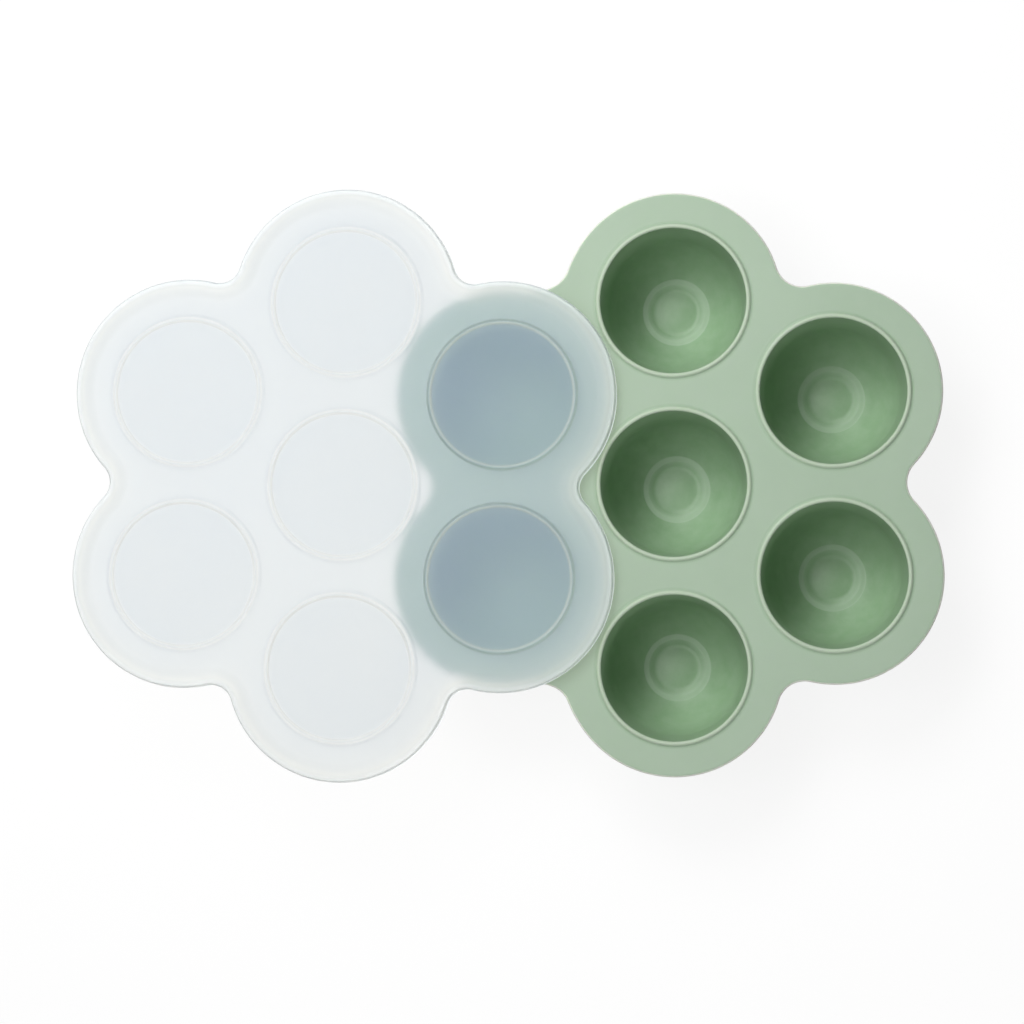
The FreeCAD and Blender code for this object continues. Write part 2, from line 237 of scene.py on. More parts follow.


# %% [markdown]
# ## The shell tree
#
# The object that carries the tree holds only the drawn lines. Each point knows four things: if its
# line is carried along the lobed edge or turned round the cups, if it is the last of its line, if
# it lies on the top or the underside sheet, and how the finish and the painted light and shade
# change there. The tree lays a grid over each line, one row for each point, and bends the grid
# round. The six lobes touch their hollow corners smoothly, because each corner's centre lies on
# the line through the point where two arcs meet.
#
# The sheets between the loops could be drawn face by face. Turning the open loops into curves and
# filling them is shorter, and it follows any outline.

# %% Turn a drawn line about an axis
EDGE_MARK = "along_edge"
END_MARK = "line_end"
SHEET_MARK = "sheet"
# The finish mark also carries painted light: painted shade and highlights on the tray, painted
# lines and a painted glow on the lid.
FINISH_AND_PAINTED_LIGHT_MARK = "finish"
TOP_SHEET = 1.0
UNDER_SHEET = 2.0
HALF_MARKED = 0.5
SAME_LEVEL = 0.1
WELD = 0.002 * MM


def mark(tree, name):
    return node(tree, "GeometryNodeInputNamedAttribute", {"data_type": "FLOAT"}, {"Name": name})


def compare(tree, operation, a, b):
    settings = {"data_type": "FLOAT", "operation": operation}
    return node(tree, "FunctionNodeCompare", settings, {"A": a, "B": b})


def sample(tree, lines, field, row, data_type="FLOAT"):
    """What a field says at one point of the drawn lines."""
    inputs = {"Geometry": lines, "Value": field, "Index": row}
    return node(tree, "GeometryNodeSampleIndex", {"data_type": data_type}, inputs)


def turned(tree, lines, centre, base_radius, side, start, sweep, steps):
    """Lay a grid over the lines and bend it round an upright axis, from an angle through a sweep.

    A point's radius is the base radius plus side times its distance across.
    """
    rows = node(tree, "GeometryNodeAttributeDomainSize", inputs={"Geometry": lines})
    columns = steps + 1
    grid = node(tree, "GeometryNodeMeshGrid", inputs={"Vertices X": rows, "Vertices Y": columns})
    index = node(tree, "GeometryNodeInputIndex")
    row = (index / columns).maths("FLOOR")
    where = node(tree, "GeometryNodeInputPosition")
    across, _, up = parts_of(tree, sample(tree, lines, where, row, "FLOAT_VECTOR"))
    radius = across * side + base_radius
    angle = start + sweep * ((index % columns) / steps)
    place = vector(
        tree,
        centre[0] + radius * angle.maths("COSINE"),
        centre[1] + radius * angle.maths("SINE"),
        up,
    )
    laid = node(tree, "GeometryNodeSetPosition", inputs={"Geometry": grid, "Position": place})
    for name in (SHEET_MARK, FINISH_AND_PAINTED_LIGHT_MARK):
        value = sample(tree, lines, mark(tree, name), row)
        inputs = {"Geometry": laid, "Name": name, "Value": value}
        laid = node(tree, "GeometryNodeStoreNamedAttribute", inputs=inputs)
    # No face joins the last point of one line to the first of the next.
    face_row = (index / steps).maths("FLOOR")
    line_end = sample(tree, lines, mark(tree, END_MARK), face_row)
    between = compare(tree, "GREATER_THAN", line_end, HALF_MARKED)
    inputs = {"Geometry": laid, "Selection": between}
    return node(tree, "GeometryNodeDeleteGeometry", {"domain": "FACE"}, inputs)


def joined(tree, *pieces):
    made = tree.nodes.new("GeometryNodeJoinGeometry")
    for piece in pieces:
        tree.links.new(piece.socket, made.inputs[0])
    return Wire(tree, made.outputs[0])


def welded(tree, geometry):
    inputs = {"Geometry": geometry, "Distance": WELD}
    return node(tree, "GeometryNodeMergeByDistance", inputs=inputs)


def sheet_between(tree, shell, level):
    """Flat sheet between those of the shell's open loops that carry a level's mark."""
    difference = (mark(tree, SHEET_MARK) - level).maths("ABSOLUTE")
    on_level = compare(tree, "LESS_THAN", difference, SAME_LEVEL)
    loops = node(tree, "GeometryNodeMeshToCurve", inputs={"Mesh": shell, "Selection": on_level})
    filled = node(tree, "GeometryNodeFillCurve", inputs={"Curve": loops})
    where = node(tree, "GeometryNodeInputPosition")
    heights = parts_of(tree, where)[2]
    inputs = {"Geometry": shell, "Selection": on_level, "Attribute": heights}
    height = node(tree, "GeometryNodeAttributeStatistic", inputs=inputs, output="Min")
    inputs = {"Geometry": filled, "Offset": vector(tree, 0.0, 0.0, height)}
    return node(tree, "GeometryNodeSetPosition", inputs=inputs)


# %% The tree that makes a lobed shell
LOBES = 6
SHELL_INPUTS = {
    "Drawn Lines": "NodeSocketGeometry",
    "Pitch": "NodeSocketFloat",
    "Lobe Radius": "NodeSocketFloat",
    "Notch Radius": "NodeSocketFloat",
    "Steps Round a Cup": "NodeSocketInt",
    "Steps Along a Lobe": "NodeSocketInt",
    "Steps Along a Notch": "NodeSocketInt",
    "Place": "NodeSocketVector",
    "Turn": "NodeSocketVector",
    "Material": "NodeSocketMaterial",
}


def new_tree(name, inputs):
    """A Geometry Nodes tree with named inputs. Returns it with a wire for each input."""
    tree = bpy.data.node_groups.new(name, "GeometryNodeTree")
    for label, kind in inputs.items():
        tree.interface.new_socket(label, in_out="INPUT", socket_type=kind)
    tree.interface.new_socket("Geometry", in_out="OUTPUT", socket_type="NodeSocketGeometry")
    source = tree.nodes.new("NodeGroupInput")
    return tree, {label: Wire(tree, source.outputs[label]) for label in inputs}


def end_tree(tree, geometry, material):
    whole = node(tree, "GeometryNodeRealizeInstances", inputs={"Geometry": geometry})
    inputs = {"Geometry": whole, "Material": material}
    finished = node(tree, "GeometryNodeSetMaterial", inputs=inputs)
    sink = tree.nodes.new("NodeGroupOutput")
    tree.links.new(finished.socket, sink.inputs["Geometry"])


def edge_strips(tree, lines, given):
    """The lobe of the outline that points along +Y, and the hollow corner after it."""
    pitch, lobe, notch = given["Pitch"], given["Lobe Radius"], given["Notch Radius"]
    step = math.tau / LOBES
    quarter = math.tau / 4
    reach = lobe + notch
    half_lobe = quarter + step / 2 - (pitch / (reach * 2)).maths("ARCCOSINE")
    lobe_strip = turned(
        tree, lines, (0.0, pitch), lobe, -1.0,
        quarter - half_lobe, half_lobe * 2, given["Steps Along a Lobe"],
    )
    towards = half_lobe + quarter
    notch_centre = (reach * towards.maths("COSINE"), pitch + reach * towards.maths("SINE"))
    notch_strip = turned(
        tree, lines, notch_centre, notch, 1.0,
        half_lobe + 3 * quarter, step - half_lobe * 2, given["Steps Along a Notch"],
    )
    return lobe_strip, notch_strip


def six_times(tree, geometry):
    """Repeat geometry round the upright axis."""
    points = node(tree, "GeometryNodePoints", inputs={"Count": LOBES})
    index = node(tree, "GeometryNodeInputIndex")
    rotation = vector(tree, 0.0, 0.0, index * (math.tau / LOBES))
    inputs = {"Points": points, "Instance": geometry, "Rotation": rotation}
    repeated = node(tree, "GeometryNodeInstanceOnPoints", inputs=inputs)
    return node(tree, "GeometryNodeRealizeInstances", inputs={"Geometry": repeated})


def build_shell_tree():
    tree, given = new_tree("lobed_shell", SHELL_INPUTS)
    on_edge = compare(tree, "GREATER_THAN", mark(tree, EDGE_MARK), HALF_MARKED)
    inputs = {"Geometry": given["Drawn Lines"], "Selection": on_edge}
    edge_lines = node(tree, "GeometryNodeSeparateGeometry", inputs=inputs)
    cup_lines = edge_lines.output("Inverted")

    cup = turned(
        tree, cup_lines, (0.0, 0.0), 0.0, 1.0, 0.0, math.tau, given["Steps Round a Cup"]
    )
    outwards = vector(tree, 0.0, given["Pitch"], 0.0)
    inputs = {"Geometry": cup, "Translation": outwards}
    outer_cup = node(tree, "GeometryNodeTransform", inputs=inputs)
    wedge = joined(tree, outer_cup, *edge_strips(tree, edge_lines, given))
    shell = welded(tree, joined(tree, cup, six_times(tree, wedge)))

    top = sheet_between(tree, shell, TOP_SHEET)
    under = sheet_between(tree, shell, UNDER_SHEET)
    under = node(tree, "GeometryNodeFlipFaces", inputs={"Mesh": under})
    whole = welded(tree, joined(tree, shell, top, under))
    inputs = {"Geometry": whole, "Translation": given["Place"], "Rotation": given["Turn"]}
    placed = node(tree, "GeometryNodeTransform", inputs=inputs)
    smooth = node(tree, "GeometryNodeSetShadeSmooth", inputs={"Geometry": placed})
    end_tree(tree, smooth, given["Material"])
    print(f"Tree {tree.name}: {len(tree.nodes)} nodes")
    return tree


shell_tree = build_shell_tree()


# %% [markdown]
# ## From a tree to a plain mesh
#
# A modifier's inputs are set by each socket's identifier. The evaluated result is kept as a plain
# mesh and the modifier is taken off, so that the piece is what it looks like everywhere.

# %% Run a tree on an object
def object_from_lines(name, lines, finish_and_painted_light_at):
    """Object that holds drawn lines, each a tuple: points in mm, marks on both ends, place.

    The last argument says how far the finish and the painted light and shade change at a point,
    from its place, distance and height.
    """
    mesh = bpy.data.meshes.new(name)
    points, edges = [], []
    marks = {EDGE_MARK: [], END_MARK: [], SHEET_MARK: [], FINISH_AND_PAINTED_LIGHT_MARK: []}
    for line, (first_sheet, last_sheet), place in lines:
        start = len(points)
        points += [(across * MM, 0.0, up * MM) for across, up in line]
        edges += [(start + number, start + number + 1) for number in range(len(line) - 1)]
        middle = len(line) - 2
        marks[EDGE_MARK] += [float(place == "edge")] * len(line)
        marks[FINISH_AND_PAINTED_LIGHT_MARK] += [finish_and_painted_light_at(place, across, up) for across, up in line]
        marks[END_MARK] += [0.0] * (middle + 1) + [1.0]
        marks[SHEET_MARK] += [first_sheet] + [0.0] * middle + [last_sheet]
    mesh.from_pydata(points, edges, [])
    for label, values in marks.items():
        mesh.attributes.new(label, "FLOAT", "POINT").data.foreach_set("value", values)
    made = bpy.data.objects.new(name, mesh)
    bpy.context.scene.collection.objects.link(made)
    return made


def run_tree(piece, tree, values):
    """Run a tree on a piece with the given inputs, and keep the result as its plain mesh."""
    modifier = piece.modifiers.new(tree.name, "NODES")
    modifier.node_group = tree
    for item in tree.interface.items_tree:
        if item.item_type == "SOCKET" and item.name in values:
            modifier[item.identifier] = values[item.name]
    piece.update_tag()
    graph = bpy.context.evaluated_depsgraph_get()
    mesh = bpy.data.meshes.new_from_object(piece.evaluated_get(graph))
    piece.modifiers.clear()
    piece.data = mesh
    mesh.name = piece.name
    mesh.materials.clear()
    mesh.materials.append(values["Material"])
    mesh.attributes.remove(mesh.attributes[SHEET_MARK])
    mesh.calc_loop_triangles()
    print(f"{piece.name}: {len(mesh.vertices)} points, {len(mesh.loop_triangles)} triangles")


# %% [markdown]
# ## The silicone tray's sections
#
# Inside, a cup has a sunk floor, a ledge round it, a bowl that turns up into a slightly sloping
# wall, and a raised lip. Outside, the bowl runs alongside at the wall's thickness and ends in a
# small foot. The third line goes round the flange's soft edge.

# %% Draw the tray
TRAY_HEIGHT = 41.0
LOBE_RADIUS = 39.0
NOTCH_RADIUS = 9.5
FLANGE = 2.4
EDGE_ROUND = 1.0
LIP_HEIGHT = 0.9
LIP_FOOT = LIP_OUTER + 0.3
CUP_WALL = 1.8
DRAFT = math.radians(4.0)
BOWL_RADIUS = 22.0
LEDGE_RADIUS = 12.3
LEDGE_TOP = 3.2
FLOOR_RADIUS = 9.3
FLOOR_TOP = 2.0
# The sunk floor swells a little. It is highest in the middle and falls off with the square of the
# distance, and its edge ends at a low share of the swell.
DOME = 0.9
DOME_TOP = 1.3
DOME_SPREAD = 56
DOME_EDGE = 0.2
DOME_POINTS = (0.0, 1.5, 3.0, 4.5, 6.0)
FLOOR_INSET = 1.3
FLOOR_BEND = 3.5
STEP = 1.2
STEP_RUN = 0.6
LEDGE_INSET = 0.6
LEDGE_BEND = 1.5
WALL_POINTS = (4.0, 8.0, 12.0)
LIP_END_ANGLE = 50
BOWL_STEPS = 18
OUTER_BOWL_STEPS = 14
LIP_STEPS = 12
ROOT_ROUND = 2.0
ROOT_RUN = 1.0
FOOT_RUN = 1.0
SOFT_ROUND = 0.48
CREASE = 0.15


def tray_lines():
    out = Vector((math.cos(DRAFT), -math.sin(DRAFT)))
    up_wall = Vector((math.sin(DRAFT), math.cos(DRAFT)))
    mouth = Vector((MOUTH_RADIUS, TRAY_HEIGHT))
    ledge = Vector((LEDGE_RADIUS, LEDGE_TOP))
    # The bowl's centre is one radius from the ledge's edge and one radius inside the wall.
    inner_line = mouth - out * BOWL_RADIUS
    to_ledge = ledge - inner_line
    rise = to_ledge.dot(up_wall) + math.sqrt(BOWL_RADIUS**2 - to_ledge.dot(out) ** 2)
    bowl = inner_line + up_wall * rise
    wall_end = -math.degrees(DRAFT)
    ledge_end = math.degrees(math.atan2(ledge.y - bowl.y, ledge.x - bowl.x))
    lip_crest = (LIP_WIDTH**2 / 4 + LIP_HEIGHT**2) / (2 * LIP_HEIGHT)
    lip_centre = (LIP_MIDDLE, TRAY_HEIGHT + LIP_HEIGHT - lip_crest)
    lip_start = math.degrees(math.asin((TRAY_HEIGHT - lip_centre[1]) / lip_crest))
    inside = rounded([
        *[(at, FLOOR_TOP + DOME * (DOME_TOP - at**2 / DOME_SPREAD)) for at in DOME_POINTS],
        (FLOOR_RADIUS - FLOOR_INSET, FLOOR_TOP + DOME * DOME_EDGE, FLOOR_BEND),
        (FLOOR_RADIUS + STEP_RUN + LEDGE_INSET, LEDGE_TOP, LEDGE_BEND),
        (LEDGE_RADIUS, LEDGE_TOP, LEDGE_BEND),
        *arc(bowl, BOWL_RADIUS, ledge_end, wall_end, BOWL_STEPS)[1:],
        *[tuple(bowl + out * BOWL_RADIUS + up_wall * along) for along in WALL_POINTS],
        *arc(lip_centre, lip_crest, 180 - lip_start, LIP_END_ANGLE, LIP_STEPS),
        (LIP_FOOT, TRAY_HEIGHT, 2 * SOFT_ROUND),
        (LIP_FOOT + 2 * SUPPORT, TRAY_HEIGHT),
    ])

    underside = TRAY_HEIGHT - FLANGE
    outer = mouth + out * CUP_WALL
    root = outer + up_wall * ((underside - outer.y) / up_wall.y)
    outer_bowl = BOWL_RADIUS + CUP_WALL
    foot_radius = FLOOR_RADIUS + CUP_WALL
    under_angle = math.degrees(math.asin((STEP - bowl.y) / outer_bowl))
    outside = rounded([
        (root.x + ROOT_ROUND + ROOT_RUN, underside),
        (root.x, underside, ROOT_ROUND),
        *arc(bowl, outer_bowl, wall_end, under_angle, OUTER_BOWL_STEPS),
        (foot_radius + STEP_RUN, STEP, CREASE),
        (foot_radius, 0.0, SOFT_ROUND),
        (foot_radius - FOOT_RUN, 0.0),
        (0.0, 0.0),
    ])
    edge = rounded([
        (EDGE_ROUND + SUPPORT, TRAY_HEIGHT),
        (0.0, TRAY_HEIGHT, EDGE_ROUND),
        (0.0, underside, EDGE_ROUND),
        (EDGE_ROUND + SUPPORT, underside),
    ])
    return [
        (inside, (0.0, TOP_SHEET), "inside"),
        (outside, (UNDER_SHEET, 0.0), "outside"),
        (edge, (TOP_SHEET, UNDER_SHEET), "edge"),
    ]


# Marks of painted shade: full in each cup, lighter on the ledge, faint in the crease beside each
# lip.
PAINTED_SHADE_IN_CUP = 1.0
PAINTED_SHADE_ON_LEDGE = 0.62
PAINTED_SHADE_BESIDE_LIP = 0.35
# A painted highlight on the flange's outer edge.
PAINTED_EDGE_HIGHLIGHT = -1.0
MOUTH_SLACK = 0.01
LEDGE_SLACK = 0.1


def tray_finish_and_painted_light(place, across, up):
    """Mark of the tray's finish and painted light at a point: painted shade in the cups, less of
    it on the ledge and a little beside the lips, and a painted highlight on the flange's outer
    edge. It is 0 on the flat flange.
    """
    if place == "inside" and across < MOUTH_RADIUS + MOUTH_SLACK:
        on_ledge = FLOOR_RADIUS + STEP_RUN < across < LEDGE_RADIUS + LEDGE_SLACK
        return PAINTED_SHADE_ON_LEDGE if on_ledge else PAINTED_SHADE_IN_CUP
    if place == "inside" and LIP_OUTER <= across < LIP_FOOT + SUPPORT:
        return PAINTED_SHADE_BESIDE_LIP
    if place == "edge" and across < EDGE_ROUND / 2:
        return PAINTED_EDGE_HIGHLIGHT
    return 0.0


show(tray_lines())


# %% [markdown]
# ## The lid's sections
#
# The lid is a thin plate with a raised, rounded rim, a short skirt that clips over the flange, and
# a fine ridge above each lip with a shallow groove below it, where the lip beds in.

# %% Draw the lid
LID_WALL = 1.2
SKIRT = 5.0
FIT_GAP = 0.8
RIM_START = 11.5
RIM_FOOT = 7.2
RIM_CREST = 3.0
RIM_HEIGHT = 0.8
RIM_ROUND = 2.2
RIM_LEAD_STEPS = 4
SKIRT_ROUND = 0.3
SKIRT_ROOT = 0.4
RING_INNER = 25.3
RING_WIDTH = 2.2
RING_HEIGHT = 0.5
RING_LEAD = 0.2
SWELL_STEPS = 12
GROOVE_DEPTH = 0.4
GROOVE_GAP = 0.3
PLATE_TOP = SKIRT + LID_WALL
RIM_TOP = PLATE_TOP + RIM_HEIGHT
LID_OFFSET = FIT_GAP + LID_WALL


def swell(start, width, height, half_waves):
    """Points of a soft rise above the plate: half a wave goes up and down, a quarter only up."""
    line = []
    for step in range(SWELL_STEPS + 1):
        share = step / SWELL_STEPS
        rise = height * math.sin(math.pi * share * half_waves) ** 2
        line.append((start + width * share, PLATE_TOP + rise))
    return line


def lid_lines():
    ridge = [
        (0.0, PLATE_TOP),
        (RING_INNER / 2, PLATE_TOP),
        (RING_INNER - RING_LEAD, PLATE_TOP),
        *swell(RING_INNER, RING_WIDTH, RING_HEIGHT, 1),
        (RING_INNER + RING_WIDTH + SUPPORT, PLATE_TOP),
    ]
    groove_inside = MOUTH_RADIUS - GROOVE_GAP
    groove_outside = LIP_OUTER + GROOVE_GAP
    groove = rounded([
        (groove_outside + SUPPORT, SKIRT),
        (groove_outside, SKIRT, CREASE),
        (groove_outside, SKIRT + GROOVE_DEPTH, CREASE),
        (groove_inside, SKIRT + GROOVE_DEPTH, CREASE),
        (groove_inside, SKIRT, CREASE),
        (groove_inside - SUPPORT, SKIRT),
    ], steps=3)
    rim = rounded([
        *[
            (RIM_START + (RIM_FOOT - RIM_START) * step / RIM_LEAD_STEPS, PLATE_TOP)
            for step in range(RIM_LEAD_STEPS)
        ],
        *swell(RIM_FOOT, RIM_CREST - RIM_FOOT, RIM_HEIGHT, 0.5),
        (0.0, RIM_TOP, RIM_ROUND),
        (0.0, 0.0, SKIRT_ROUND),
        (LID_WALL, 0.0, SKIRT_ROUND),
        (LID_WALL, SKIRT, SKIRT_ROOT),
        (LID_WALL + 2 * SUPPORT, SKIRT),
    ], steps=7)
    return [
        (ridge, (0.0, TOP_SHEET), "ridge"),
        (groove, (UNDER_SHEET, UNDER_SHEET), "groove"),
        (rim, (TOP_SHEET, UNDER_SHEET), "edge"),
    ]


# Marks of the painted light line and the painted dark line across each ring.
PAINTED_LIGHT_LINE = 1.0
PAINTED_DARK_LINE = -1.0
ON_PANEL = -2.0
AT_RIM = 3.0
RIM_WIDE = 0.9
RIM_CLOSE = 2.1
RIM_POWER = 6


def lid_finish_and_painted_light(place, across, up):
    """Mark of the lid's finish at a point.

    Across a ring it swings between the marks of a painted light line and a painted dark line. It
    is
    ON_PANEL on the frosted round panel inside it, and climbs to AT_RIM at the outer edge, whose
    last millimetres also carry a painted glow.
    """
    if place == "ridge" and across < RING_INNER:
        return ON_PANEL
    if place == "ridge" and across <= RING_INNER + RING_WIDTH:
        return math.sin(math.tau * (across - RING_INNER) / RING_WIDTH)
    if place == "edge" and (up >= PLATE_TOP or across == 0.0):
        near = 1.0 - across / RIM_START
        return RIM_WIDE * near + RIM_CLOSE * near**RIM_POWER
    return 0.0


show(lid_lines())


# %% [markdown]
# ## Making both pieces
#
# Real moulds are cut for each piece alone. Here one tree serves both, because the lid follows the
# tray's outline at a fixed distance: its lobes are larger by that distance and its hollow corners
# smaller.

# %% Make both pieces
silicone = bpy.data.materials.new("sage_silicone")
milky = bpy.data.materials.new("milky_plastic")
shared = {
    "Pitch": PITCH * MM,
    "Steps Round a Cup": 96,
    "Steps Along a Lobe": 56,
    "Steps Along a Notch": 22,
}
tray = object_from_lines("moulded_tray", tray_lines(), tray_finish_and_painted_light)
run_tree(tray, shell_tree, {
    **shared,
    "Lobe Radius": LOBE_RADIUS * MM,
    "Notch Radius": NOTCH_RADIUS * MM,
    "Material": silicone,
})
lid = object_from_lines("moulded_lid", lid_lines(), lid_finish_and_painted_light)
run_tree(lid, shell_tree, {
    **shared,
    "Lobe Radius": (LOBE_RADIUS + LID_OFFSET) * MM,
    "Notch Radius": (NOTCH_RADIUS - LID_OFFSET) * MM,
    "Place": lid_place,
    "Turn": Vector((0.0, 0.0, LID_TURN)),
    "Material": milky,
})


# %% [markdown]
# ## Silicone gives way
#
# The lid's weight rests on the two left cups, and soft silicone lets their lips settle under the
# lid's rings, a few millimetres to the side. The other cups stay. Between them the flange follows,
# so each point moves by an average of the cups' pulls that counts the nearest cup most. The feet
# stand on the table, so the pull grows with height.

# %% Settle the left cups under the lid's rings
FADE_WIDTH = 20.0


def cup_pulls():
    """Pairs of cup centre and pull, in metres: the left cups move, the middle ones hold."""
    pulls = [(Vector((0.0, PITCH * MM * row)), Vector((0.0, 0.0))) for row in (-1, 0, 1)]
    for row in (-0.5, 0.5):
        cup = Vector((-COLUMN, PITCH * row)) * MM
        ring = rotated((COLUMN * MM, PITCH * row * MM), LID_TURN) + lid_place.xy
        pulls.append((cup, ring - cup))
    return pulls


def clamped(share):
    return min(max(share, 0.0), 1.0)


def settle(piece, pulls):
    """Move a piece's points sideways, not at all in the middle or on the table."""
    lip = LIP_OUTER * MM
    full_height = (TRAY_HEIGHT - FLANGE) * MM
    for point in piece.data.vertices:
        at = point.co.xy
        # The added millimetre keeps a weight finite inside its cup.
        weights = [1 / (max((at - cup).length - lip, 0.0) ** 2 + MM**2) for cup, _ in pulls]
        weighed = (move * weight for (_, move), weight in zip(pulls, weights))
        pull = sum(weighed, Vector((0.0, 0.0)))
        fade = clamped(-at.x / (FADE_WIDTH * MM)) * clamped(point.co.z / full_height)
        point.co.xy = at + pull / sum(weights) * fade


pulls = cup_pulls()
settle(tray, pulls)
for cup, pull in pulls:
    print("Cup at", in_mm(cup, 1), "mm moves by", in_mm(pull, 2))


# %% [markdown]
# ## Which piece is which part
#
# The lid lifts off and the tray stays, so each mesh is tied to the body that it moves with. Each
# also takes the place of its plain CAD solid.

# %% Let the pieces ride on their bodies
for piece, body, cad_node, slot in (
    (tray, "tray", "silicone_tray", "silicone"),
    (lid, "lid", "lid", "lid_plastic"),
):
    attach(piece, body)
    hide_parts(cad_node)
    low, high = piece.bound_box[0], piece.bound_box[6]
    print(piece.name, "spans", in_mm(low, 1), "to", in_mm(high, 1))


# %% [markdown]
# ## Helpers for the finishes
#
# Both finishes are procedural. Their patterns read Object coordinates, in metres, so that a scale
# of 1000 gives patches of about a millimetre.

# %% Helpers for materials
def blank_tree(material):
    material.use_nodes = True
    material.node_tree.nodes.clear()
    return material.node_tree


def noise(tree, where, scale, detail):
    inputs = {"Vector": where, "Scale": scale, "Detail": detail}
    return node(tree, "ShaderNodeTexNoise", inputs=inputs)


def ramp(wire, low, high):
    """0 below low, 1 above high and a straight line between them."""
    inputs = {"Value": wire, "From Min": low, "From Max": high}
    return node(wire.tree, "ShaderNodeMapRange", {"clamp": True}, inputs)


def blend(tree, factor, first, second):
    settings = {"data_type": "RGBA", "blend_type": "MIX"}
    return node(tree, "ShaderNodeMix", settings, {0: factor, 6: first, 7: second}, output=2)


def surface(tree, shader):
    sink = tree.nodes.new("ShaderNodeOutputMaterial")
    tree.links.new(shader.socket, sink.inputs["Surface"])


# %% [markdown]
# ## Sage green silicone
#
# Moulded silicone is satin, a little chalky, and faintly uneven where the pigment was stirred in.
# Up close it shows the fine spark-eroded grain of its steel mould, and it holds specks of dust.
# The cups are coloured a deeper green, a painted shade. The lips round the cups and the flange's
# outer edge are coloured paler, painted highlights for the light that catches and shines through
# thin silicone. Elsewhere light goes in a millimetre or so and comes out again nearby, which
# softens every shadow.

# %% Finish the silicone
FLANGE_GREEN = (0.390, 0.508, 0.381, 1.0)
STIRRED_GREEN = (0.414, 0.532, 0.405, 1.0)
# Painted shade: the cups are coloured this deeper green.
CUP_SHADE_GREEN = (0.260, 0.404, 0.242, 1.0)
# Painted highlight on the flange's outer edge.
EDGE_HIGHLIGHT_GREEN = (0.840, 0.860, 0.780, 1.0)
FINE_GREEN = (0.425, 0.545, 0.412, 1.0)
# Painted highlight along the lips round the cups.
LIP_HIGHLIGHT_GREEN = (0.560, 0.645, 0.510, 1.0)
DUST_GREY = (0.78, 0.80, 0.74, 1.0)
STIRRED_SCALE = 22.0
FINE_SCALE = 240.0
FINE_SHARE = 0.25
GRAIN_SCALE = 1900.0
DUST_SCALE = 95.0
# Between these marks a cell starts to hold a speck, so about one cell in five has one.
DUST_FROM = 0.80
DUST_TO = 0.82
SPECK_CORE = 0.010
SPECK_EDGE = 0.022
DUST_SHARE = 0.6
DUST_RISE = 2.0
# Heights over which the painted highlight on the lips comes in.
LIP_HIGHLIGHT_FROM = 41.1
LIP_HIGHLIGHT_TO = 41.7
LIP_HIGHLIGHT_SHARE = 0.55
SILICONE_IOR = 1.45
LIGHT_DEPTH = 1.2


def finish_silicone(material):
    tree = blank_tree(material)
    where = node(tree, "ShaderNodeTexCoord", output="Object")
    height = parts_of(tree, where)[2]

    stirred = ramp(noise(tree, where, STIRRED_SCALE, detail=4.0), 0.35, 0.65)
    fine = ramp(noise(tree, where, FINE_SCALE, detail=3.0), 0.3, 0.7)
    green = blend(tree, stirred, FLANGE_GREEN, STIRRED_GREEN)
    finish = node(tree, "ShaderNodeAttribute", {"attribute_name": FINISH_AND_PAINTED_LIGHT_MARK}, output="Fac")
    # Painted shade: the cups take a deeper green, and the ledge and the crease beside each lip
    # part of it. The same mask makes the cups a little glossier. The flange's outer edge is
    # coloured paler, a painted highlight.
    cup_shade_and_gloss = ramp(finish, 0.0, PAINTED_SHADE_IN_CUP)
    on_edge = ramp(finish, 0.0, PAINTED_EDGE_HIGHLIGHT)
    green = blend(tree, cup_shade_and_gloss, green, CUP_SHADE_GREEN)
    green = blend(tree, on_edge, green, EDGE_HIGHLIGHT_GREEN)
    green = blend(tree, fine * FINE_SHARE, green, FINE_GREEN)

    # Painted highlight: all that rises above the flange, the lips, is coloured paler.
    lip_highlight = ramp(height, LIP_HIGHLIGHT_FROM * MM, LIP_HIGHLIGHT_TO * MM)
    green = blend(tree, lip_highlight * LIP_HIGHLIGHT_SHARE, green, LIP_HIGHLIGHT_GREEN)

    cells = node(tree, "ShaderNodeTexVoronoi", inputs={"Vector": where, "Scale": DUST_SCALE})
    chosen = ramp(parts_of(tree, cells.output("Color"))[0], DUST_FROM, DUST_TO)
    dust = (1 - ramp(cells, SPECK_CORE, SPECK_EDGE)) * chosen
    green = blend(tree, dust * DUST_SHARE, green, DUST_GREY)

    grain = noise(tree, where, GRAIN_SCALE, detail=2.0)
    bump = node(tree, "ShaderNodeBump", inputs={
        "Height": grain + dust * DUST_RISE, "Strength": 0.25, "Distance": 0.00004,
    })
    shader = node(tree, "ShaderNodeBsdfPrincipled", inputs={
        "Base Color": green,
        "Roughness": 0.56 + fine * 0.06 - cup_shade_and_gloss * 0.14,
        "IOR": SILICONE_IOR,
        "Specular IOR Level": 0.6,
        "Subsurface Weight": 0.5,
        "Subsurface Radius": (0.8, 1.0, 0.7),
        "Subsurface Scale": LIGHT_DEPTH * MM,
        "Normal": bump,
    })
    surface(tree, shader)
    print(f"{material.name}: {len(tree.nodes)} nodes")


finish_silicone(silicone)


# %% [markdown]
# ## Milky plastic
#
# The lid is thin polypropylene. It lets most light through but scatters it, so what lies right
# under it shows with soft edges and what lies deep in a cup is only a tint. That is a rough glass,
# mixed at each surface with a little cool white that light bounces off.
#
# The round panels inside the rings are a touch duller than the rest. The rim is thickest, so it is
# whiter and glows when light comes from behind. Its outermost edge also emits light, a painted
# glow. Across each ring a whiter band paints a light line and a clearer band paints a dark line.

# %% Finish the plastic
RING_TINT = (0.955, 0.910, 0.790, 1.0)
